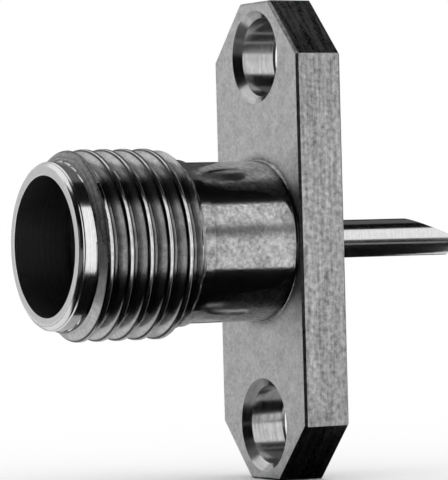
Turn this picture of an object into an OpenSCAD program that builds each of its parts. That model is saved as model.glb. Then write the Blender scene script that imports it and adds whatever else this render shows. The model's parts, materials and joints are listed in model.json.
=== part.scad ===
// Two-hole flange SMA jack: a threaded coupling barrel turned in one piece with its
// mounting flange, holding a centre contact between two insulators.
// The origin is the centre of the flange's mounting face. The mouth faces -Y, the solder
// tail points to +Y and the flange is long in Z. Millimetres throughout.
// Modules are drawn standing on the mounting face with the mouth upwards, and as_mounted()
// turns them to their place.

/* [Flange] */
// Length of the flange, along the line of its screw holes
flange_length = 15.88; // [15.6:0.02:18]
// Width of the flange
flange_width = 5.7; // [5.6:0.05:7]
// Thickness of the flange
flange_thickness = 1.65; // [1.2:0.05:2.2]
// Size of the 45 degree cuts at the flange's four corners
corner_cut = 1.85; // [0.5:0.05:2.2]
// Size of the broken edges round the flange's two faces
edge_break = 0.08; // [0.03:0.01:0.12]
// Distance of each screw hole's centre from its end of the flange
hole_end = 1.83; // [1.65:0.01:2.3]
// Diameter of the screw holes
hole_d = 2.6; // [2.2:0.05:2.75]
// Chamfer at the front of each screw hole
hole_chamfer = 0.25; // [0.1:0.01:0.3]
// Chamfer at the back of each screw hole
back_chamfer = 0.24; // [0.1:0.01:0.3]

/* [Barrel] */
// Height of the mouth above the mounting face
mouth_height = 9.53; // [9.1:0.01:12]
// Diameter of the plain barrel between the thread and the flange
barrel_d = 5.3; // [5:0.02:5.4]
// Fillet where the barrel meets the flange
root_fillet = 0.1; // [0.04:0.01:0.12]
// Diameter of the plain land between the mouth and the thread
land_d = 5.4; // [5.32:0.02:5.42]
// Diameter of the flat ring at the mouth
mouth_ring_d = 5.16; // [4.8:0.02:5.2]
// Height of the chamfer from that ring to the plain land in front of the thread
mouth_chamfer = 0.1; // [0.05:0.01:0.1]

/* [Thread] */
// Major diameter of the coupling thread
thread_d = 6.25; // [6.1:0.01:6.36]
// Minor diameter of the coupling thread, at its root
thread_root_d = 5.48; // [5.46:0.01:5.54]
// Pitch of the coupling thread
thread_pitch = 0.7056; // [0.6656:0.001:0.7256]
// Distance behind the mouth at which the thread dies out
front_land = 0.54; // [0.52:0.01:0.8]
// Distance behind the mouth at which the thread ends towards the flange
thread_reach = 4.45; // [3.8:0.01:5.5]
// Direction in which the thread ends, round the barrel
thread_turn = 305; // [0:1:359]

/* [Mouth] */
// Bore that the mating plug enters
mouth_bore_d = 4.6; // [4.4:0.01:4.7]
// Depth of the reference plane behind the mouth
mouth_depth = 1.93; // [1.5:0.01:2.6]

/* [Insulators] */
// Diameter of the insulators, and of the bore they are pressed into
insulator_d = 4.11; // [3.8:0.01:4.3]
// Length of the rear insulator
rear_length = 3.4; // [2.4:0.05:4.2]
// Play between the contact and the insulators
contact_play = 0.02; // [0.01:0.005:0.06]

/* [Contact] */
// Diameter of the contact
contact_d = 1.27; // [1.2:0.01:1.4]
// Distance of the contact's front end behind the reference plane
contact_setback = 0.03; // [0:0.01:0.2]
// Diameter of the socket that takes the plug's pin
socket_d = 0.94; // [0.9:0.01:0.98]
// Depth of the socket
socket_depth = 2.4; // [2:0.05:2.8]
// Chamfers inside and outside the tips of the fingers
tip_chamfer = 0.05; // [0.02:0.01:0.07]
// Width of the slots that part the socket into fingers
slot_width = 0.12; // [0.08:0.01:0.16]
// Depth of those slots
slot_depth = 2.2; // [1.2:0.05:2.4]
// Number of fingers
finger_count = 4; // [2:1:4]
// Diameter of the collar held between the insulators
collar_d = 2.1; // [1.7:0.05:2.6]
// Width of the collar
collar_width = 0.5; // [0.3:0.05:0.8]
// Length of the solder tail behind the mounting face
tail_length = 5.62; // [4.5:0.02:8]
// Diameter of the solder cup
cup_d = 0.8; // [0.6:0.01:0.9]
// Depth of the solder cup
cup_depth = 2; // [1.8:0.05:2.6]
// Length of the slanted cut that opens the cup
skive_length = 1.66; // [1.2:0.02:1.75]
// Depth of that cut at the end of the tail
skive_depth = 0.66; // [0.3:0.02:0.8]
// Chamfer round the end of the tail
tail_chamfer = 0.07; // [0.03:0.01:0.1]

/* [Hidden] */
$fn = 96;
through = 1;             // how far a cut passes the surface it opens
hole_place = flange_length / 2 - hole_end;
reference_z = mouth_height - mouth_depth;
tip_z = reference_z - contact_setback;
collar_top = rear_length + collar_width;
skive_angle = atan(skive_depth / skive_length);

// Thread form: a 60 degree ridge over a flat root of a sixth of the pitch
root_r = thread_root_d / 2;
thread_depth = (thread_d - thread_root_d) / 2;
foot_half = thread_pitch * 5 / 12;
crest_half = foot_half - thread_depth * tan(30);
turn_steps = 48;
thread_low = mouth_height - thread_reach;
thread_high = mouth_height - front_land;
ridge_start = thread_low - crest_half;
ridge_steps = ceil((thread_high + crest_half - ridge_start) / thread_pitch * turn_steps);
end_margin = 0.02;
core_overlap = 0.2;
root_low = ridge_start - foot_half - end_margin;
root_high = ridge_z(ridge_steps) + foot_half + end_margin;

// Height of the ridge's centre line after a number of steps round
function ridge_z(step) = ridge_start + thread_pitch * step / turn_steps;

// How far the ridge's crest stands out at a height: it rises and dies away at 45 degrees
function crest_height(z) = max(0, min(thread_depth, z - thread_low, thread_high - z));

function thread_point(step, r, z) =
    [r * cos(360 * step / turn_steps), r * sin(360 * step / turn_steps), z];

// The ridge's four points at one step: foot, crest, crest and foot
function ridge_section(step) =
    let (z = ridge_z(step))
    [
        thread_point(step, root_r, z - foot_half),
        thread_point(step, root_r + crest_height(z - crest_half), z - crest_half),
        thread_point(step, root_r + crest_height(z + crest_half), z + crest_half),
        thread_point(step, root_r, z + foot_half)
    ];

// A root cylinder with one ridge wound round it, as a closed surface
module threaded_length() {
    corners = len(ridge_section(0));
    low_foot = 0;
    high_foot = corners - 1;
    ridge_points = [for (step = [0:ridge_steps]) each ridge_section(step)];
    low_ring = len(ridge_points);
    high_ring = low_ring + turn_steps;
    first_top = ridge_steps - turn_steps;

    function ridge(step, corner) = corners * step + corner;
    function low(step) = low_ring + step % turn_steps;
    function high(step) = high_ring + step % turn_steps;
    function quad(a, b, c, d) = [[a, b, c], [a, c, d]];
    function fan(hub, rim) = [for (i = [1:len(rim) - 1]) [hub, rim[i - 1], rim[i]]];

    flanks = [
        for (step = [0:ridge_steps - 1], corner = [low_foot:high_foot - 1])
            each quad(ridge(step, corner), ridge(step, corner + 1),
                ridge(step + 1, corner + 1), ridge(step + 1, corner))
    ];
    roots = [
        for (step = [0:first_top - 1])
            each quad(ridge(step, high_foot), ridge(step + turn_steps, low_foot),
                ridge(step + turn_steps + 1, low_foot), ridge(step + 1, high_foot))
    ];
    bottom_strip = [
        for (step = [0:turn_steps - 2])
            each quad(low(step), ridge(step, low_foot), ridge(step + 1, low_foot), low(step + 1))
    ];
    // where the ridge begins and ends, its points lie along one edge of a strip's face
    bottom_seam = fan(ridge(turn_steps - 1, low_foot), [
        ridge(turn_steps, low_foot),
        for (corner = [high_foot:-1:low_foot]) ridge(0, corner),
        low(0),
        low(turn_steps - 1)
    ]);
    top_strip = [
        for (step = [first_top + 1:ridge_steps - 1])
            each quad(ridge(step, high_foot), high(step), high(step + 1), ridge(step + 1, high_foot))
    ];
    top_seam = fan(ridge(first_top + 1, high_foot), [
        ridge(first_top, high_foot),
        for (corner = [low_foot:high_foot]) ridge(ridge_steps, corner),
        high(first_top),
        high(first_top + 1)
    ]);
    bottom_disc = [for (step = [0:turn_steps - 1]) low(step)];
    top_disc = [for (step = [turn_steps - 1:-1:0]) high(step)];

    ring = [for (z = [root_low, root_high], step = [0:turn_steps - 1]) thread_point(step, root_r, z)];
    polyhedron(
        points = concat(ridge_points, ring),
        faces = concat(flanks, roots, bottom_strip, bottom_seam, top_strip, top_seam,
            [bottom_disc, top_disc]),
        convexity = 8
    );
}

// Turns a piece drawn mouth upwards so that the mouth faces -Y
module as_mounted() {
    rotate([90, 0, 0]) children();
}

module flange_outline() {
    x = flange_width / 2;
    y = flange_length / 2;
    polygon([
        [x, corner_cut - y], [x, y - corner_cut], [x - corner_cut, y], [corner_cut - x, y],
        [-x, y - corner_cut], [-x, corner_cut - y], [corner_cut - x, -y], [x - corner_cut, -y]
    ]);
}

// Cuts off both long corners of one side face, which lies at a distance from the axis
module side_break(distance) {
    slope = edge_break * sqrt(2);
    for (z = [0, flange_thickness])
        translate([distance, 0, z])
            rotate([0, 45, 0]) cube([slope, flange_length, slope], center = true);
}

module flange_blank() {
    corner_distance = (flange_width / 2 + flange_length / 2 - corner_cut) / sqrt(2);
    difference() {
        linear_extrude(flange_thickness) flange_outline();
        for (turn = [0, 180]) rotate(turn) {
            side_break(flange_width / 2);
            rotate(90) side_break(flange_length / 2);
            for (corner = [45, -45]) rotate(corner) side_break(corner_distance);
        }
    }
}

// Outline of what is turned: the plain barrel with its fillet on the flange, a core inside
// the threaded length, then the land in front of the thread and the chamfer to the mouth
module turned_outline() {
    r = barrel_d / 2;
    fillet_steps = 6;
    arc_centre = [r + root_fillet, flange_thickness + root_fillet];
    polygon([
        [0, flange_thickness / 2],
        [r + root_fillet, flange_thickness / 2],
        for (step = [0:fillet_steps])
            let (angle = 270 - 90 * step / fillet_steps)
                arc_centre + root_fillet * [cos(angle), sin(angle)],
        [r, root_low + core_overlap],
        [land_d / 2, root_high - core_overlap],
        [land_d / 2, mouth_height - mouth_chamfer],
        [mouth_ring_d / 2, mouth_height],
        [0, mouth_height]
    ]);
}

// Widens the mouth of a hole from a depth below its rim to well above it
module rim_cone(d, depth) {
    translate([0, 0, -depth]) cylinder(d1 = d, d2 = d + 2 * (depth + through), h = depth + through);
}

// A screw hole with a chamfer at each end
module screw_hole() {
    translate([0, 0, -through]) cylinder(d = hole_d, h = flange_thickness + 2 * through);
    translate([0, 0, flange_thickness]) rim_cone(hole_d, hole_chamfer);
    mirror([0, 0, 1]) rim_cone(hole_d, back_chamfer);
}

module connector_body() {
    color("silver") as_mounted() difference() {
        union() {
            flange_blank();
            rotate_extrude() turned_outline();
            rotate(thread_turn) threaded_length();
        }
        for (side = [-1, 1]) translate([0, side * hole_place, 0]) screw_hole();
        translate([0, 0, -through]) cylinder(d = insulator_d, h = mouth_height);
        translate([0, 0, reference_z]) cylinder(d = mouth_bore_d, h = mouth_depth + through);
    }
}

// Insulator in front of the contact's collar, with a recess that the collar sits in
module front_insulator() {
    color("dimgray") as_mounted() difference() {
        translate([0, 0, rear_length]) cylinder(d = insulator_d, h = reference_z - rear_length);
        cylinder(d = contact_d + 2 * contact_play, h = mouth_height);
        cylinder(d = collar_d + 2 * contact_play, h = collar_top);
    }
}

// Insulator between the collar and the mounting face
module rear_insulator() {
    color("dimgray") as_mounted() difference() {
        cylinder(d = insulator_d, h = rear_length);
        translate([0, 0, -through])
            cylinder(d = contact_d + 2 * contact_play, h = rear_length + 2 * through);
    }
}

// Outline of the turned contact from the end of its tail to the tips of its fingers
module contact_outline() {
    r = contact_d / 2;
    polygon([
        [0, -tail_length],
        [r - tail_chamfer, -tail_length],
        [r, tail_chamfer - tail_length],
        [r, rear_length],
        [collar_d / 2, rear_length],
        [collar_d / 2, collar_top],
        [r, collar_top],
        [r, tip_z - tip_chamfer],
        [r - tip_chamfer, tip_z],
        [0, tip_z]
    ]);
}

// The socket's bore, with a lead-in between the tips of the fingers
module socket_bore() {
    translate([0, 0, tip_z - socket_depth]) cylinder(d = socket_d, h = socket_depth + through);
    translate([0, 0, tip_z]) rim_cone(socket_d, tip_chamfer);
}

// One slot from the axis outwards through the wall of the socket
module finger_slot() {
    translate([0, -slot_width / 2, tip_z - slot_depth])
        cube([contact_d, slot_width, slot_depth + through]);
}

// Half of the tail's end, above a plane that slants from its top down to the end
module skive() {
    translate([0, contact_d / 2, skive_length - tail_length])
        rotate([-skive_angle, 0, 0])
            translate([-contact_d, 0, -2 * skive_length])
                cube([2 * contact_d, contact_d, 2 * skive_length + through]);
}

module centre_contact() {
    color("lightgray") as_mounted() difference() {
        rotate_extrude() contact_outline();
        socket_bore();
        for (finger = [0:finger_count - 1]) rotate(360 * finger / finger_count + 45) finger_slot();
        translate([0, 0, -tail_length - through]) cylinder(d = cup_d, h = cup_depth + through);
        skive();
    }
}

connector_body();
front_insulator();
rear_insulator();
centre_contact();
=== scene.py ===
import json
from math import cos, hypot, pi, radians, sin, tan
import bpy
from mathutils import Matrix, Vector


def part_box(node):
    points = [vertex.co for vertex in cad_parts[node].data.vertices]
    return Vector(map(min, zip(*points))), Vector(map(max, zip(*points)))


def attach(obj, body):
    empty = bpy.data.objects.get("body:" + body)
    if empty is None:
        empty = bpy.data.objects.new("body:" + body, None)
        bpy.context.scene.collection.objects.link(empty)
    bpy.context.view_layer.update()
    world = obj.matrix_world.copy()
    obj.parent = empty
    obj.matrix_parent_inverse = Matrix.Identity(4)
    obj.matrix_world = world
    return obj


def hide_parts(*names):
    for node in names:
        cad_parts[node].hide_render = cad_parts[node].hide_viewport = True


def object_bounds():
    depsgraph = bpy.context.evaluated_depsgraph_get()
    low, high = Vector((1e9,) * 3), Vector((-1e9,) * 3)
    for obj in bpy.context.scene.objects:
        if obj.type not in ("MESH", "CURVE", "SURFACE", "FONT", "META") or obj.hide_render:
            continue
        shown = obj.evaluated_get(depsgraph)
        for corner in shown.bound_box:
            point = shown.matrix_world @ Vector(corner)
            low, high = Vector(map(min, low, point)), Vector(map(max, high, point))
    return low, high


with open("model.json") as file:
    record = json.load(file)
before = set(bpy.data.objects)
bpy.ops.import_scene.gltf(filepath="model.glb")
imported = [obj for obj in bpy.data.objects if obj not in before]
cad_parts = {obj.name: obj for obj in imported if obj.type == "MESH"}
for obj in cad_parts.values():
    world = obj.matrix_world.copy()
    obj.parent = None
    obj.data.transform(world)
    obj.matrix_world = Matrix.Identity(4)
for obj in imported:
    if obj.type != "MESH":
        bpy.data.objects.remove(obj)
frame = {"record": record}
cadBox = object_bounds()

from types import SimpleNamespace

import bmesh
import bpy
from mathutils import Euler, Quaternion, Vector

# Threaded two-hole flange jack. The mouth faces -Y, the solder tail points to +Y, the flange is
# long in Z and its mounting face lies at y = 0. Sizes are millimetres and angles are degrees;
# meshes are drawn in millimetres and brought to metres when they are finished.

mm = 0.001
fullTurn = 2 * pi
mounts = {mount["name"]: mount["dims"] for mount in frame["record"]["mounts"]}


def nodeBox(node):
    low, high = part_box(node)
    return low / mm, high / mm


bodyLow, bodyHigh = nodeBox("connector_body")
frontLow, frontHigh = nodeBox("front_insulator")
rearLow, rearHigh = nodeBox("rear_insulator")
contactLow, contactHigh = nodeBox("centre_contact")
mouthHeight = -bodyLow.y


# Outlines, turning, cutting and finishing, which every piece uses.

wideSteps = 144  # steps round the body and the insulators
fineSteps = 96  # steps round the holes and the contact
roundingSegments = 3
smoothAngle = 28  # edges sharper than this stay crisp
mergeGap = 0.0002
near = 0.002  # points closer than this lie in the same plane


def pick(geometry, kind):
    return [item for item in geometry if isinstance(item, kind)]


def everything(bm):
    return bm.verts[:] + bm.edges[:] + bm.faces[:]


def once(items):
    return list(dict.fromkeys(items))  # each item once, in the order given


def cornersOf(faces):
    return once(vert for face in faces for vert in face.verts)


def withCorners(faces):
    edges = once(edge for face in faces for edge in face.edges)
    return cornersOf(faces) + edges + faces


def facesSince(bm, before):
    return [face for face in bm.faces if face not in before]


def looseOutline(bm):
    wires = [edge for edge in bm.edges if edge.is_wire]
    return once(vert for edge in wires for vert in edge.verts) + wires


def drawOutline(bm, points, z=0.0, rounding=0.0):
    verts = [bm.verts.new((radius, y, z)) for radius, y in points]
    for pair in zip(verts, verts[1:]):
        bm.edges.new(pair)
    if rounding:
        bmesh.ops.bevel(bm, geom=verts[1:-1], offset=rounding, offset_type="OFFSET",
                        segments=roundingSegments, profile=0.5, affect="VERTICES", material=-1)
    return looseOutline(bm)


def turnOutline(bm, points, z=0.0, rounding=0.0, steps=wideSteps):
    before = set(bm.faces)
    outline = drawOutline(bm, points, z, rounding)
    bmesh.ops.spin(bm, geom=outline, cent=(0, 0, z), axis=(0, 1, 0), angle=fullTurn,
                   steps=steps, use_merge=True)
    return facesSince(bm, before)


def cutEdges(bm, edges, width):
    cut = bmesh.ops.bevel(bm, geom=edges, offset=width, offset_type="OFFSET", segments=1,
                          profile=0.5, affect="EDGES", material=-1)
    return cut["faces"]


def runsAlongY(edge):
    return abs(edge.verts[0].co.y - edge.verts[1].co.y) > near


def openEdges(bm, y):
    return [edge for edge in bm.edges if edge.is_boundary
            and all(abs(vert.co.y - y) < near for vert in edge.verts)]


def offAxis(face):
    middle = face.calc_center_median()
    return hypot(middle.x, middle.z)


def paint(faces, materials, part):  # a face never painted keeps the first material
    for face in faces:
        face.material_index = list(materials).index(part)


def finishPiece(bm, name, node, materials):
    bmesh.ops.remove_doubles(bm, verts=bm.verts, dist=mergeGap)
    bmesh.ops.recalc_face_normals(bm, faces=bm.faces)
    gaps = sum(edge.is_boundary for edge in bm.edges)
    bmesh.ops.scale(bm, vec=(mm, mm, mm), verts=bm.verts)
    for face in bm.faces:
        face.smooth = True
    mesh = bpy.data.meshes.new(name)
    bm.to_mesh(mesh)
    bm.free()
    mesh.set_sharp_from_angle(angle=radians(smoothAngle))
    for material in materials.values():
        mesh.materials.append(material)
    piece = bpy.data.objects.new(name, mesh)
    bpy.context.scene.collection.objects.link(piece)
    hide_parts(node)
    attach(piece, "root")
    print(f"{name}: {len(mesh.polygons)} faces, {gaps} open edges")


# Nodes, with their inputs given by name or, where names repeat, by number.

def joinValue(tree, value, socket):
    if isinstance(value, bpy.types.NodeSocket):
        tree.links.new(value, socket)
    else:
        socket.default_value = value


def placeNode(tree, kind, inputs, output=0, **settings):
    node = tree.nodes.new("ShaderNode" + kind)
    for name, value in settings.items():
        setattr(node, name, value)
    for socket, value in inputs.items():
        joinValue(tree, value, node.inputs[socket])
    return node.outputs[output]


def mathNode(tree, operation, first, second=0.0):
    return placeNode(tree, "Math", {0: first, 1: second}, operation=operation)


def mapRange(tree, value, fromRange, toRange=(0, 1)):
    return placeNode(tree, "MapRange", {"Value": value, "From Min": fromRange[0],
                                        "From Max": fromRange[1], "To Min": toRange[0],
                                        "To Max": toRange[1]})


def mixColours(tree, mask, first, second, **settings):
    # inputs 6 and 7 and output 2 are the ones for colours
    return placeNode(tree, "Mix", {0: mask, 6: first, 7: second}, 2, data_type="RGBA", **settings)


def greyColour(tone):
    return (tone, tone, tone, 1)


def axisRadius(tree, vector):
    flat = placeNode(tree, "VectorMath", {0: vector, 1: (1, 0, 1)}, operation="MULTIPLY")
    return placeNode(tree, "VectorMath", {0: flat}, "Value", operation="LENGTH")


# Effects that the materials share, in millimetres of Object coordinates.

noiseSpread = (0.3, 0.7)  # where most of a noise texture's values lie


def newGroup(name, inputs, output):
    group = bpy.data.node_groups.new(name, "ShaderNodeTree")
    group.interface.new_socket(name="Vector", in_out="INPUT", socket_type="NodeSocketVector")
    for label, value in inputs.items():
        socket = group.interface.new_socket(name=label, in_out="INPUT",
                                            socket_type="NodeSocketFloat")
        socket.default_value = value
    group.interface.new_socket(name=output, in_out="OUTPUT", socket_type="NodeSocketFloat")
    given = group.nodes.new("NodeGroupInput").outputs
    result = group.nodes.new("NodeGroupOutput").inputs
    return group, given, result


def makeLatheMarks():
    tree, given, result = newGroup("latheMarks", {"Lines": 20, "Sway": 0.02}, "Marks")
    faceShare = 1.3  # the lines lie this much closer on end faces than on walls
    along = placeNode(tree, "SeparateXYZ", {"Vector": given["Vector"]}, "Y")
    outward = mathNode(tree, "MULTIPLY", axisRadius(tree, given["Vector"]), faceShare)
    swaying = placeNode(tree, "TexNoise", {"Vector": given["Vector"], "Scale": 0.7, "Detail": 1})
    run = mathNode(tree, "ADD", mathNode(tree, "ADD", along, outward),
                   mathNode(tree, "MULTIPLY", swaying, given["Sway"]))
    lines = placeNode(tree, "TexNoise", {"W": mathNode(tree, "MULTIPLY", run, given["Lines"]),
                                         "Scale": 1, "Detail": 3, "Roughness": 0.6},
                      noise_dimensions="1D")
    joinValue(tree, mapRange(tree, lines, noiseSpread), result["Marks"])
    return tree


def makePlateStreaks():
    tree, given, result = newGroup("plateStreaks", {"Across": 14, "Along": 0.5}, "Marks")
    stretch = placeNode(tree, "CombineXYZ", {"X": given["Along"], "Y": given["Across"],
                                             "Z": given["Along"]})
    stretched = placeNode(tree, "VectorMath", {0: given["Vector"], 1: stretch},
                          operation="MULTIPLY")
    streaks = placeNode(tree, "TexNoise", {"Vector": stretched, "Scale": 1, "Detail": 4,
                                           "Roughness": 0.65})
    joinValue(tree, mapRange(tree, streaks, noiseSpread), result["Marks"])
    return tree


def makeSpeckle():
    tree, given, result = newGroup("speckle", {"Grain": 0.1}, "Marks")
    grains = placeNode(tree, "TexNoise", {"Vector": given["Vector"], "Detail": 3, "Roughness": 0.6,
                                          "Scale": mathNode(tree, "DIVIDE", 1.0, given["Grain"])})
    joinValue(tree, mapRange(tree, grains, noiseSpread), result["Marks"])
    return tree


def makeEdgeWear():
    tree, given, result = newGroup("edgeWear", {"Width": 0.03}, "Wear")
    flatAndSharp = (1, 0.93)  # how far the rounded normal still agrees with the true one
    radius = mathNode(tree, "MULTIPLY", given["Width"], mm)
    rounded = placeNode(tree, "Bevel", {"Radius": radius}, samples=6)
    plain = placeNode(tree, "NewGeometry", {}, "Normal")
    agreement = placeNode(tree, "VectorMath", {0: rounded, 1: plain}, "Value",
                          operation="DOT_PRODUCT")
    rubbed = placeNode(tree, "TexNoise", {"Vector": given["Vector"], "Scale": 4, "Detail": 3})
    sharpness = mapRange(tree, agreement, flatAndSharp)
    rubbing = mapRange(tree, rubbed, (0.35, 0.6), (0.2, 1))
    joinValue(tree, mathNode(tree, "MULTIPLY", sharpness, rubbing), result["Wear"])
    return tree


# Painted shade: an ambient-occlusion mask darkens corners, creases and thread roots where shade
# falls, and blotches vary how dark it gets.
def makePaintedCornerShade():
    tree, given, result = newGroup("paintedCornerShade", {"Reach": 0.3}, "PaintedShade")
    openAndClosed = (0.95, 0.5)  # the share of open air where the painted shade begins and where it is full
    distance = mathNode(tree, "MULTIPLY", given["Reach"], mm)
    openness = placeNode(tree, "AmbientOcclusion", {"Distance": distance}, "AO",
                         samples=8, only_local=True)
    blotches = placeNode(tree, "TexNoise", {"Vector": given["Vector"], "Scale": 3, "Detail": 3})
    depth = mapRange(tree, openness, openAndClosed)
    unevenness = mapRange(tree, blotches, (0.3, 0.6), (0.6, 1))
    joinValue(tree, mathNode(tree, "MULTIPLY", depth, unevenness), result["PaintedShade"])
    return tree


effects = {"lathe": makeLatheMarks(), "streaks": makePlateStreaks(), "speckle": makeSpeckle(),
           "wear": makeEdgeWear(), "cornerShade": makePaintedCornerShade()}
print("shared effects:", ", ".join(effects))


def placeEffect(tree, effect, vector, values):
    node = tree.nodes.new("ShaderNodeGroup")
    node.node_tree = effects[effect]
    joinValue(tree, vector, node.inputs["Vector"])
    for name, value in values.items():
        node.inputs[name].default_value = value
    return node.outputs[0]


# Materials. A finish gives two tones and two roughnesses for the marks to run between, the depth
# of the marks, the grain of the patches over them, how much edges wear and how much painted shade
# darkens the corners.

commonFinish = {"wornTone": 0.85, "wearWidth": 0.02, "wearShare": 0.5, "cornerShadeReach": 0.25,
                "cornerShadeShare": 0.5, "metallic": 1, "shine": 0.5}
# the tone of the painted shade in corners
paintedShadeTone = 0.01


def newMaterial(name):
    material = bpy.data.materials.new(name)
    material.use_nodes = True
    shader = material.node_tree.nodes["Principled BSDF"]
    return material, material.node_tree, shader


# Painted shade by depth: a ramp over the distance from the axis dims the flanks a little, darkens
# the thread's root and darkens most the band just under its crest, where the ridges shade the
# groove.
def paintShadeByDepth(tree, where, tone, depth):
    reach = mapRange(tree, axisRadius(tree, where), (depth["from"], depth["to"]))
    ramp = tree.nodes.new("ShaderNodeValToRGB")
    joinValue(tree, reach, ramp.inputs["Fac"])
    stops = ramp.color_ramp.elements
    for place, shade in depth["stops"]:
        present = {stop.position: stop for stop in stops}
        stop = present.get(place) or stops.new(place)
        stop.color = greyColour(shade)
    return mixColours(tree, 1.0, tone, ramp.outputs["Color"], blend_type="MULTIPLY")


def dressMaterial(name, ownFinish):
    finish = commonFinish | ownFinish
    material, tree, shader = newMaterial(name)
    coordinates = placeNode(tree, "TexCoord", {}, "Object")
    where = placeNode(tree, "VectorMath", {0: coordinates, "Scale": 1 / mm}, operation="SCALE")
    marks = placeEffect(tree, finish["marks"], where, finish["marking"])
    patches = placeEffect(tree, "speckle", where, {"Grain": finish["patches"]})
    wear = placeEffect(tree, "wear", where, {"Width": finish["wearWidth"]})
    share = finish["patchShare"]
    mask = mathNode(tree, "ADD", mathNode(tree, "MULTIPLY", marks, 1 - share),
                    mathNode(tree, "MULTIPLY", patches, share))
    tone = mixColours(tree, mask, *[greyColour(tone) for tone in finish["tones"]])
    if "depth" in finish:
        tone = paintShadeByDepth(tree, where, tone, finish["depth"])
    # painted shade in corners and crevices, from the ambient occlusion
    cornerShade = placeEffect(tree, "cornerShade", where, {"Reach": finish["cornerShadeReach"]})
    cornerShadeMask = mathNode(tree, "MULTIPLY", cornerShade, finish["cornerShadeShare"])
    tone = mixColours(tree, cornerShadeMask, tone, greyColour(paintedShadeTone))
    worn = mathNode(tree, "MULTIPLY", wear, finish["wearShare"])
    tone = mixColours(tree, worn, tone, greyColour(finish["wornTone"]))
    joinValue(tree, tone, shader.inputs["Base Color"])
    rough = mapRange(tree, mask, (0, 1), finish["roughness"])
    joinValue(tree, rough, shader.inputs["Roughness"])
    relief = placeNode(tree, "Bump", {"Height": mask, "Distance": finish["relief"] * mm,
                                      "Strength": 1})
    joinValue(tree, relief, shader.inputs["Normal"])
    shader.inputs["Metallic"].default_value = finish["metallic"]
    shader.inputs["Specular IOR Level"].default_value = finish["shine"]
    return material


# Flange, barrel, thread and mouth ring, one piece of metal.

bodySizes = {
    "flangeWidth": 5.7,
    "flangeThickness": 1.65,
    "cornerCut": 1.85,
    "edgeBreak": 0.08,
    "holeChamfer": 0.25,
    "backChamfer": 0.24,
    "barrelDiameter": 5.3,
    "rootFillet": 0.1,
    "filletSteps": 5,
    "landDiameter": 5.4,
    "ringDiameter": 5.16,
    "mouthChamfer": 0.1,
    "softEdge": 0.015,
    "shoulder": 0.03,  # from each end of the wound thread to the plain surface beyond it
}

threadSizes = {
    "rootDiameter": 5.48,
    "pitch": 0.7056,
    "flankAngle": 30,
    "rootFlat": 1 / 6,  # share of the pitch
    "frontLand": 0.54,
    "reach": 4.45,
    "endTurn": 305,
    "crestRounding": 0.022,
    "crestBreak": 0.05,  # rubbed off the crest's edge on the mouth's side
    "leadInSlope": 1.35,
    "stepsPerTurn": 144,
    "flankCuts": 6,
}

bodyFinishes = {
    "thread": {
        "tones": (0.5, 0.92), "roughness": (0.26, 0.14), "relief": 0.0008,
        "marks": "lathe", "marking": {"Lines": 22, "Sway": 0.05},
        "patches": 0.14, "patchShare": 0.6, "cornerShadeReach": 0.3, "cornerShadeShare": 0.8,
        # painted shade on the thread: darker at the root, darkest just under the crest
        "depth": {"from": 2.73, "to": 3.12,
                  "stops": [(0, 0.1), (0.06, 1), (0.14, 0.75), (0.78, 0.72),
                            (0.86, 0.08), (0.95, 0.08), (0.97, 1), (1, 1)]},
    },
    "flangeSide": {
        "tones": (0.12, 0.72), "roughness": (0.42, 0.3), "relief": 0.003,
        "marks": "streaks", "marking": {"Across": 9, "Along": 0.6},
        "patches": 0.16, "patchShare": 0.55, "wearWidth": 0.03,
    },
    "cornerCut": {
        "tones": (0.01, 0.8), "roughness": (0.18, 0.42), "relief": 0.004,
        "marks": "streaks", "marking": {"Across": 6, "Along": 0.5},
        "patches": 0.12, "patchShare": 0.3,
    },
    "flangeFace": {
        "tones": (0.5, 0.82), "roughness": (0.5, 0.36), "relief": 0.004,
        "marks": "speckle", "marking": {"Grain": 0.1},
        "patches": 0.45, "patchShare": 0.35, "wearWidth": 0.03, "cornerShadeReach": 0.4, "cornerShadeShare": 1,
    },
    "barrel": {
        "tones": (0.14, 0.72), "roughness": (0.18, 0.07), "relief": 0.0012,
        "marks": "speckle", "marking": {"Grain": 0.14},
        "patches": 0.8, "patchShare": 0.4, "wearShare": 0.3, "cornerShadeReach": 0.4, "cornerShadeShare": 1,
    },
    "land": {
        "tones": (0.74, 0.92), "wornTone": 0.95, "roughness": (0.2, 0.1), "relief": 0.0005,
        "marks": "lathe", "marking": {"Lines": 26, "Sway": 0.05},
        "patches": 0.2, "patchShare": 0.4,
    },
    # The bore's dark tones are painted shade: they keep the wall of the deep mouth dark.
    "bored": {
        "tones": (0.2, 0.34), "wornTone": 0.6, "roughness": (0.45, 0.3), "relief": 0.0015,
        "marks": "lathe", "marking": {"Lines": 16, "Sway": 0.05},
        "patches": 0.2, "patchShare": 0.3,
    },
    "drilled": {
        "tones": (0.42, 0.68), "roughness": (0.26, 0.14), "relief": 0.0012,
        "marks": "streaks", "marking": {"Across": 11, "Along": 0.7},
        "patches": 0.2, "patchShare": 0.25,
    },
    "runOut": {
        "tones": (0.03, 1), "wornTone": 0.01, "roughness": (0.42, 0.95), "relief": 0.004,
        "marks": "lathe", "marking": {"Lines": 5, "Sway": 0.5},
        "patches": 0.12, "patchShare": 0.4, "wearWidth": 0.06, "wearShare": 1, "cornerShadeShare": 0.8,
    },
}
bodyMaterials = {part: dressMaterial(part + "Metal", finish)
                 for part, finish in bodyFinishes.items()}
print("body finishes:", ", ".join(bodyMaterials))


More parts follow.
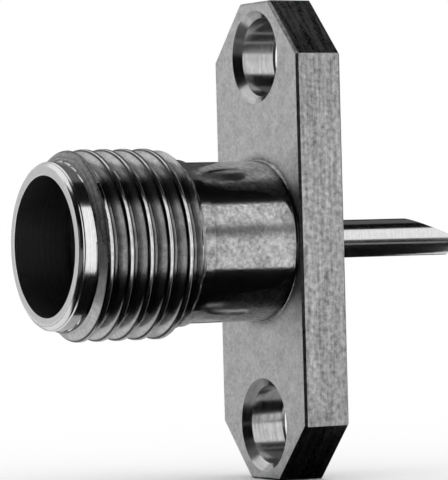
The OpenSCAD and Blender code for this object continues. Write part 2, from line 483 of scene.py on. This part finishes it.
def drawFlange(bm, sizes):
    width, thickness = sizes["flangeWidth"], sizes["flangeThickness"]
    plate = bmesh.ops.create_cube(bm, size=1)["verts"]
    bmesh.ops.scale(bm, vec=(width, thickness, bodyHigh.z - bodyLow.z), verts=plate)
    bmesh.ops.translate(bm, vec=(0, -thickness / 2, 0), verts=plate)
    corners = [edge for edge in bm.edges if runsAlongY(edge)]
    slanted = cutEdges(bm, corners, sizes["cornerCut"])
    paint(bm.faces, bodyMaterials, "flangeSide")
    paint(slanted, bodyMaterials, "cornerCut")
    rims = [edge for edge in bm.edges if not runsAlongY(edge)]
    cutEdges(bm, rims, sizes["edgeBreak"])
    bigFaces = [face for face in bm.faces if not any(runsAlongY(edge) for edge in face.edges)]
    bmesh.ops.delete(bm, geom=bigFaces, context="FACES_ONLY")


def drillHoles(bm, sizes):
    holes, thickness = mounts["flange_holes"], sizes["flangeThickness"]
    radius, front, back = holes["hole_r_mm"], sizes["holeChamfer"], sizes["backChamfer"]
    outline = [(radius + front, -thickness), (radius, front - thickness), (radius, -back),
               (radius + back, 0)]
    for side in (-1, 1):
        drilled = turnOutline(bm, outline, side * holes["spacing_y_mm"] / 2, steps=fineSteps)
        paint(drilled, bodyMaterials, "drilled")


def turnBarrel(bm, sizes, end):
    radius, fillet = sizes["barrelDiameter"] / 2, sizes["rootFillet"]
    angles = [pi / 2 * step / sizes["filletSteps"] for step in range(sizes["filletSteps"] + 1)]
    root = [(radius + fillet * (1 - cos(angle)),
             -sizes["flangeThickness"] - fillet * (1 - sin(angle))) for angle in angles]
    paint(turnOutline(bm, [(radius, end)] + root), bodyMaterials, "barrel")


def turnMouth(bm, sizes, end):
    land, ring, seat = sizes["landDiameter"] / 2, sizes["ringDiameter"] / 2, frontHigh.x
    bore, rim = mounts["mouth_bore"]["r_mm"], -mouthHeight
    floor = mounts["mouth_bore"]["length_mm"] + rim
    front = turnOutline(bm, [(land, end), (land, sizes["mouthChamfer"] + rim), (ring, rim),
                             (bore, rim), (bore, floor), (seat, floor), (seat, 0)],
                        rounding=sizes["softEdge"])
    paint(front, bodyMaterials, "land")
    paint([face for face in front if offAxis(face) < bore], bodyMaterials, "bored")


# Heights are counted from the flange's mounting face towards the mouth. The thread is wound past
# both its ends, cut off at the two planes and turned down to its root towards them.
def workOutThread(sizes, crest):
    root, pitch = sizes["rootDiameter"] / 2, sizes["pitch"]
    flankSlope = tan(radians(sizes["flankAngle"]))
    footHalf = pitch * (1 - sizes["rootFlat"]) / 2
    crestHalf = footHalf - (crest - root) * flankSlope
    low, high = mouthHeight - sizes["reach"], mouthHeight - sizes["frontLand"]
    return SimpleNamespace(
        root=root, crest=crest, pitch=pitch, flankSlope=flankSlope, footHalf=footHalf,
        crestHalf=crestHalf, low=low, high=high, leadIn=sizes["leadInSlope"],
        lowPlane=low - crestHalf - footHalf, highPlane=high + crestHalf + footHalf,
        firstPass=low - crestHalf + pitch * (1 - sizes["endTurn"] / 360))  # on the +X side


def drawRidge(bm, sizes, form, middle):
    broken = sizes["crestBreak"]
    ridge = [(form.root, -form.pitch / 2), (form.root, -form.footHalf),
             (form.crest, -form.crestHalf), (form.crest, form.crestHalf - broken / 2),
             (form.crest - broken, form.crestHalf + broken * form.flankSlope),
             (form.root, form.footHalf), (form.root, form.pitch / 2)]
    outline = drawOutline(bm, [(radius, -middle - along) for radius, along in ridge],
                          rounding=sizes["crestRounding"])
    halfDepth = (form.crest - form.root) / 2
    flanks = [edge for edge in pick(outline, bmesh.types.BMEdge)
              if abs(edge.verts[0].co.x - edge.verts[1].co.x) > halfDepth]
    bmesh.ops.subdivide_edges(bm, edges=flanks, cuts=sizes["flankCuts"])


def turnDownEnds(strip, form):
    for vert in cornersOf(strip):
        height = -vert.co.y
        rise = max(0, min(form.crest - form.root, height - form.low,
                          form.leadIn * (form.high - height)))
        radius = hypot(vert.co.x, vert.co.z)
        if radius > form.root + rise:
            shrink = (form.root + rise) / radius
            vert.co.x *= shrink
            vert.co.z *= shrink


def paintThread(strip, form):
    slack = 0.01  # a face this near a limit is past it
    heights = {face: -face.calc_center_median().y for face in strip}
    paint([face for face in strip if heights[face] < form.low], bodyMaterials, "barrel")
    paint([face for face in strip if heights[face] > form.high - slack], bodyMaterials, "land")
    raised = [face for face in strip
              if offAxis(face) > form.root + slack and heights[face] < form.high - slack]
    cut = [face for face in raised if heights[face] + 2 * slack
           > form.high - (offAxis(face) - form.root) / form.leadIn]
    paint(cut, bodyMaterials, "runOut")


def windThread(bm, sizes, form):
    before = set(bm.faces)
    spareTurns = 2
    middle = form.firstPass - spareTurns * form.pitch
    drawRidge(bm, sizes, form, middle)
    steps = sizes["stepsPerTurn"]
    bmesh.ops.spin(bm, geom=looseOutline(bm), cent=(0, 0, 0), axis=(0, -1, 0), angle=fullTurn,
                   dvec=(0, -form.pitch / steps, 0), steps=steps)
    firstTurn = withCorners(facesSince(bm, before))
    for turn in range(1, int((form.highPlane - middle) / form.pitch) + spareTurns):
        copied = bmesh.ops.duplicate(bm, geom=firstTurn)["geom"]
        bmesh.ops.translate(bm, vec=(0, -turn * form.pitch, 0),
                            verts=pick(copied, bmesh.types.BMVert))
    bmesh.ops.remove_doubles(bm, verts=cornersOf(facesSince(bm, before)), dist=mergeGap)
    for height, outward in ((form.lowPlane, 1), (form.highPlane, -1)):
        bmesh.ops.bisect_plane(bm, geom=withCorners(facesSince(bm, before)),
                               plane_co=(0, -height, 0), plane_no=(0, outward, 0),
                               clear_outer=True)
    strip = facesSince(bm, before)
    turnDownEnds(strip, form)
    paintThread(strip, form)


def makeBody(sizes, form):
    bm = bmesh.new()
    drawFlange(bm, sizes)
    drillHoles(bm, sizes)
    threadStart, threadEnd = -form.lowPlane, -form.highPlane
    barrelEnd, landEnd = threadStart + sizes["shoulder"], threadEnd - sizes["shoulder"]
    turnBarrel(bm, sizes, barrelEnd)
    turnMouth(bm, sizes, landEnd)
    windThread(bm, threadSizes, form)
    for part, wound, plain in (("barrel", threadStart, barrelEnd), ("land", threadEnd, landEnd)):
        edges = openEdges(bm, wound) + openEdges(bm, plain)
        paint(bmesh.ops.bridge_loops(bm, edges=edges)["faces"], bodyMaterials, part)
    for y, outward in ((-sizes["flangeThickness"], -1), (0, 1)):
        filled = bmesh.ops.triangle_fill(bm, edges=openEdges(bm, y), use_beauty=True,
                                         normal=(0, outward, 0))["geom"]
        paint(pick(filled, bmesh.types.BMFace), bodyMaterials, "flangeFace")
    finishPiece(bm, "flangeAndBarrel", "connector_body", bodyMaterials)


makeBody(bodySizes, workOutThread(threadSizes, bodyHigh.x))


# The contact runs through both insulators, so its sizes stand before theirs.

contactSizes = {
    "diameter": 1.27,
    "collarWidth": 0.5,
    "tipChamfer": 0.05,
    "slotWidth": 0.12,
    "slotDepth": 2.2,
    "fingers": 4,
    "skiveLength": 1.66,
    "skiveDepth": 0.66,
    "tailChamfer": 0.07,
}
frontInsulatorSizes = {"play": 0.02, "softEdge": 0.04}
rearInsulatorSizes = {"play": 0.02, "softEdge": 0.04}

# The insulator's near-black tones are painted shade: they keep its face at the bottom of the deep
# mouth dark.
insulatorFinish = {
    "tones": (0.012, 0.03), "wornTone": 0.06, "roughness": (0.75, 0.55), "relief": 0.004,
    "marks": "lathe", "marking": {"Lines": 12, "Sway": 0.1},
    "patches": 0.15, "patchShare": 0.5, "wearWidth": 0.04, "metallic": 0, "shine": 0.25,
}
contactFinishes = {
    "plated": {
        "tones": (0.66, 0.82), "wornTone": 0.9, "roughness": (0.2, 0.12), "relief": 0.0006,
        "marks": "lathe", "marking": {"Lines": 18, "Sway": 0.05},
        "patches": 0.15, "patchShare": 0.4,
    },
    "cut": {
        "tones": (0.5, 0.76), "roughness": (0.36, 0.24), "relief": 0.002,
        "marks": "streaks", "marking": {"Across": 12, "Along": 1},
        "patches": 0.08, "patchShare": 0.4,
    },
    # The socket's dark tones are painted shade for the deep holes at the contact's tip and in its
    # solder cup.
    "socket": {
        "tones": (0.08, 0.16), "wornTone": 0.4, "roughness": (0.5, 0.35), "relief": 0.001,
        "marks": "lathe", "marking": {"Lines": 14, "Sway": 0.05},
        "patches": 0.1, "patchShare": 0.4,
    },
}
insulatorMaterials = {"insulator": dressMaterial("insulatorPolymer", insulatorFinish)}
contactMaterials = {part: dressMaterial(part + "Contact", finish)
                    for part, finish in contactFinishes.items()}
print("contact finishes:", ", ".join(contactMaterials))


def makeFrontInsulator(sizes):
    bm = bmesh.new()
    bore = contactSizes["diameter"] / 2 + sizes["play"]
    pocket = contactHigh.x + sizes["play"]  # round the contact's collar
    outer, floor = frontHigh.x, frontHigh.y - contactSizes["collarWidth"]
    turnOutline(bm, [(pocket, frontHigh.y), (outer, frontHigh.y), (outer, frontLow.y),
                     (bore, frontLow.y), (bore, floor), (pocket, floor), (pocket, frontHigh.y)],
                rounding=sizes["softEdge"])
    finishPiece(bm, "frontInsulator", "front_insulator", insulatorMaterials)


def makeRearInsulator(sizes):
    bm = bmesh.new()
    bore, outer = contactSizes["diameter"] / 2 + sizes["play"], rearHigh.x
    turnOutline(bm, [(bore, rearHigh.y), (outer, rearHigh.y), (outer, rearLow.y),
                     (bore, rearLow.y), (bore, rearHigh.y)], rounding=sizes["softEdge"])
    finishPiece(bm, "rearInsulator", "rear_insulator", insulatorMaterials)


def closeSlot(bm, slotEnd, half, across, direction):
    opened = [edge for edge in bm.edges if edge.is_boundary
              and all(vert.co @ direction > 0 and abs(vert.co @ across) < half + near
                      for vert in edge.verts)]
    corners = once(vert for edge in opened for vert in edge.verts
                   if abs(vert.co.y - slotEnd) < near and abs(vert.co @ across) > half - near)
    corners.sort(key=lambda vert: (vert.co @ across, vert.co @ direction))
    closing = [bm.edges.new(corners[:2]), bm.edges.new(corners[2:])]
    sides = [[edge for edge in opened
              if all(abs(vert.co @ across - side) < near for vert in edge.verts)]
             for side in (-half, half)]
    floor = [edge for edge in opened
             if all(abs(vert.co.y - slotEnd) < near for vert in edge.verts)]
    for edges in (sides[0] + closing[:1], sides[1] + closing[1:], floor + closing):
        bmesh.ops.contextual_create(bm, geom=edges)


def cutFingerSlots(bm, sizes, tip):
    slotEnd, half = tip + sizes["slotDepth"], sizes["slotWidth"] / 2
    bmesh.ops.bisect_plane(bm, geom=everything(bm), plane_co=(0, slotEnd, 0), plane_no=(0, 1, 0))
    slotPairs = sizes["fingers"] // 2
    for pair in range(slotPairs):
        turned = pi * (pair + 0.5) / slotPairs
        across = Vector((-sin(turned), 0, cos(turned)))
        along = Vector((cos(turned), 0, sin(turned)))
        for side in (-half, half):
            fingers = [face for face in bm.faces if face.calc_center_median().y < slotEnd]
            bmesh.ops.bisect_plane(bm, geom=withCorners(fingers), plane_co=across * side,
                                   plane_no=across)
        inSlot = [face for face in bm.faces if face.calc_center_median().y < slotEnd
                  and abs(face.calc_center_median() @ across) < half]
        bmesh.ops.delete(bm, geom=inSlot, context="FACES")
        for direction in (-along, along):
            closeSlot(bm, slotEnd, half, across, direction)


def skiveTail(bm, sizes, radius, tail):
    slant = Vector((0, sizes["skiveDepth"], sizes["skiveLength"])).normalized()
    bmesh.ops.bisect_plane(bm, geom=everything(bm), plane_no=slant, clear_outer=True,
                           plane_co=(0, tail - sizes["skiveLength"], radius))
    opened = [edge for edge in bm.edges if edge.is_boundary]
    skive = bmesh.ops.triangle_fill(bm, edges=opened, use_beauty=True, normal=slant)["geom"]
    paint(pick(skive, bmesh.types.BMFace), contactMaterials, "cut")


def makeContact(sizes):
    bm = bmesh.new()
    radius, collar = sizes["diameter"] / 2, contactHigh.x
    tip, tail = contactLow.y, contactHigh.y
    collarBack = rearLow.y
    collarFront = collarBack - sizes["collarWidth"]
    lead, chamfer = sizes["tipChamfer"], sizes["tailChamfer"]
    socket, cup = mounts["contact_socket"]["r_mm"], mounts["solder_cup"]["r_mm"]
    socketEnd = tip + lead + mounts["contact_socket"]["length_mm"]
    cupEnd = tail - mounts["solder_cup"]["length_mm"]
    turnOutline(bm, [(0, cupEnd), (cup, cupEnd), (cup, tail), (radius - chamfer, tail),
                     (radius, tail - chamfer), (radius, collarBack), (collar, collarBack),
                     (collar, collarFront), (radius, collarFront), (radius, tip + lead),
                     (radius - lead, tip), (socket + lead, tip), (socket, tip + lead),
                     (socket, socketEnd), (0, socketEnd)], steps=fineSteps)
    bmesh.ops.remove_doubles(bm, verts=bm.verts, dist=mergeGap)
    inner = [face for face in bm.faces if offAxis(face) < socket + near
             and (face.calc_center_median().y < 0 or offAxis(face) < cup)]
    paint(inner, contactMaterials, "socket")
    cutFingerSlots(bm, sizes, tip)
    skiveTail(bm, sizes, radius, tail)
    finishPiece(bm, "centreContact", "centre_contact", contactMaterials)


makeFrontInsulator(frontInsulatorSizes)
makeRearInsulator(rearInsulatorSizes)
makeContact(contactSizes)


# Floor, light and camera.

stageSettings = {"floorSize": 3000, "floorTone": 1, "lightStrength": 1}

# Cards that only reflections see, as a product studio sets them round polished metal. Level cards
# have their reach in x and y, their turn about z and their height over the floor. Standing cards
# have a bearing, counted from -Y towards +X, and the height of their lower edge. A fading card
# turns white towards its upper and lower edges.
levelCards = {
    "underBarrel": {"middle": (5.6, -3.2), "size": (11.8, 17.6), "over": 0.02, "tone": 0.005},
    "underMouth": {"middle": (58.25, -19), "size": (123.5, 14), "over": 0.02, "tone": 0.005},
    "underCameraSide": {"middle": (64.3, -7.75), "size": (111.4, 8.5), "over": 0.02,
                        "tone": 0.005},
    "underFront": {"middle": (30, -93), "size": (180, 134), "over": 0.02, "tone": 0.12},
    "underHoles": {"middle": (-1.5, 7.5), "size": (17, 6), "over": 0.03, "tone": 0.005},
    "underLowHole": {"middle": (7.1, 3.9), "size": (10.2, 1.3), "turn": 26, "over": 0.05,
                     "tone": 1},
    "underPin": {"middle": (29.5, 20.3), "size": (64, 9), "turn": 28, "over": 0.02,
                 "tone": 0.005},
    "underPinStripe": {"middle": (12.2, 10.4), "size": (3, 7), "turn": 28, "over": 0.04,
                       "tone": 0.35},
    "underBehind": {"middle": (-55, 32), "size": (90, 56), "over": 0.02, "tone": 0.02},
    "underThread": {"middle": (-8.2, -13.5), "size": (15.4, 8.5), "over": 0.04, "tone": 0.85},
    "underFarSide": {"middle": (-42.7, -14), "size": (84.8, 36), "over": 0.02, "tone": 0.5},
    "aboveBarrel": {"middle": (13.5, 32.5), "size": (33, 55), "over": 48, "tone": 0.005},
    "aboveFarSide": {"middle": (-31.5, -22.5), "size": (57, 55), "over": 48, "tone": 0.9},
    "aboveMiddle": {"middle": (53.5, -22.5), "size": (113, 55), "over": 48, "tone": 0.005},
    "aboveFront": {"middle": (37, -105), "size": (146, 110), "over": 48, "tone": 0.005},
    "aboveBehind": {"middle": (-66.5, 57.5), "size": (127, 105), "over": 48, "tone": 0.12},
}
standingCards = {
    "besideBarrel": {"bearing": 109.5, "distance": 26, "width": 4.6, "from": 7.4, "height": 14,
                     "tone": 0.15, "fading": True},
    "cameraSide": {"bearing": 52, "distance": 120, "width": 205, "from": 0, "height": 60,
                   "tone": 0.005},
    "front": {"bearing": -12, "distance": 150, "width": 140, "from": 0, "height": 60,
              "tone": 0.12},
    "farSide": {"bearing": -74, "distance": 105, "width": 96, "from": 0, "height": 75,
                "tone": 0.58},
    "behind": {"bearing": -118, "distance": 100, "width": 60, "from": 0, "height": 48,
               "tone": 0.05},
    "backEdge": {"bearing": -150, "distance": 110, "width": 62, "from": 0, "height": 60,
                 "tone": 0.02},
}

cameraSettings = {
    "azimuth": 62.0,
    "elevation": 0.1,
    "roll": -1.5,
    "distance": 114.0,
    "lens": 257.5,
    "sideways": -0.90,
    "upwards": 0.065,
}


def makePlane(name, size, middle, turned):
    bm = bmesh.new()
    bmesh.ops.create_grid(bm, x_segments=1, y_segments=1, size=0.5)
    bmesh.ops.scale(bm, vec=(*size, 1), verts=bm.verts)
    turning = Euler([radians(angle) for angle in turned]).to_matrix()
    bmesh.ops.rotate(bm, cent=(0, 0, 0), matrix=turning, verts=bm.verts)
    bmesh.ops.translate(bm, vec=middle, verts=bm.verts)
    bmesh.ops.scale(bm, vec=(mm, mm, mm), verts=bm.verts)
    mesh = bpy.data.meshes.new(name)
    bm.to_mesh(mesh)
    bm.free()
    plane = bpy.data.objects.new(name, mesh)
    bpy.context.scene.collection.objects.link(plane)
    return plane


def coverWithPaper(plane, tone):
    material, tree, shader = newMaterial(plane.name + "Paper")
    shader.inputs["Base Color"].default_value = greyColour(tone)
    shader.inputs["Roughness"].default_value = 1
    shader.inputs["Specular IOR Level"].default_value = 0
    plane.data.materials.append(material)
    return tree, shader


def fadeToWhite(tree, shader, tone, middleHeight, height):
    here = placeNode(tree, "SeparateXYZ", {"Vector": placeNode(tree, "TexCoord", {}, "Object")},
                     "Z")
    away = mathNode(tree, "ABSOLUTE", mathNode(tree, "SUBTRACT", here, middleHeight * mm))
    mask = placeNode(tree, "MapRange", {"Value": away, "From Max": height / 2 * mm},
                     interpolation_type="SMOOTHSTEP")
    faded = mixColours(tree, mask, greyColour(tone), greyColour(1.0))
    joinValue(tree, faded, shader.inputs["Base Color"])


def hideFromAllButReflections(card):
    card.visible_camera = False
    card.visible_diffuse = False
    card.visible_transmission = False
    card.visible_shadow = False


def setCards(floorHeight):
    for name, card in levelCards.items():
        middle = (*card["middle"], floorHeight + card["over"])
        plane = makePlane(name + "Card", card["size"], middle, (0, 0, card.get("turn", 0)))
        coverWithPaper(plane, card["tone"])
        hideFromAllButReflections(plane)
    for name, card in standingCards.items():
        bearing = radians(card["bearing"])
        middle = (card["distance"] * sin(bearing), -card["distance"] * cos(bearing),
                  floorHeight + card["from"] + card["height"] / 2)
        plane = makePlane(name + "Card", (card["width"], card["height"]), middle,
                          (90, 0, card["bearing"]))
        tree, shader = coverWithPaper(plane, card["tone"])
        if card.get("fading"):
            fadeToWhite(tree, shader, card["tone"], middle[2], card["height"])
        hideFromAllButReflections(plane)
    print("reflection cards:", len(levelCards) + len(standingCards))


def layFloor(settings, height):
    floor = makePlane("floor", (settings["floorSize"], settings["floorSize"]), (0, 0, height),
                      (0, 0, 0))
    coverWithPaper(floor, settings["floorTone"])


def lightScene(settings):
    world = bpy.data.worlds.new("paleStudio")
    bpy.context.scene.world = world
    world.use_nodes = True
    background = world.node_tree.nodes["Background"]
    background.inputs["Color"].default_value = greyColour(1)
    background.inputs["Strength"].default_value = settings["lightStrength"]
    print("floor and light set")


def placeCamera(settings):
    azimuth, elevation = radians(settings["azimuth"]), radians(settings["elevation"])
    back = Vector((sin(azimuth) * cos(elevation), -cos(azimuth) * cos(elevation), sin(elevation)))
    level = (-back).to_track_quat("-Z", "Y")
    shift = level @ Vector((settings["sideways"], settings["upwards"], 0)) * mm
    data = bpy.data.cameras.new("productCamera")
    data.lens = settings["lens"]
    data.clip_start = 0.01
    data.clip_end = 10
    camera = bpy.data.objects.new("productCamera", data)
    camera.rotation_mode = "QUATERNION"
    camera.location = (cadBox[0] + cadBox[1]) / 2 + shift + back * settings["distance"] * mm
    camera.rotation_quaternion = level @ Quaternion((0, 0, 1), radians(settings["roll"]))
    bpy.context.scene.collection.objects.link(camera)
    bpy.context.scene.camera = camera
    print("camera set")


floorHeight = cadBox[0].z / mm
layFloor(stageSettings, floorHeight)
setCards(floorHeight)
lightScene(stageSettings)
placeCamera(cameraSettings)
bpy.context.scene.view_settings.view_transform = "Standard"
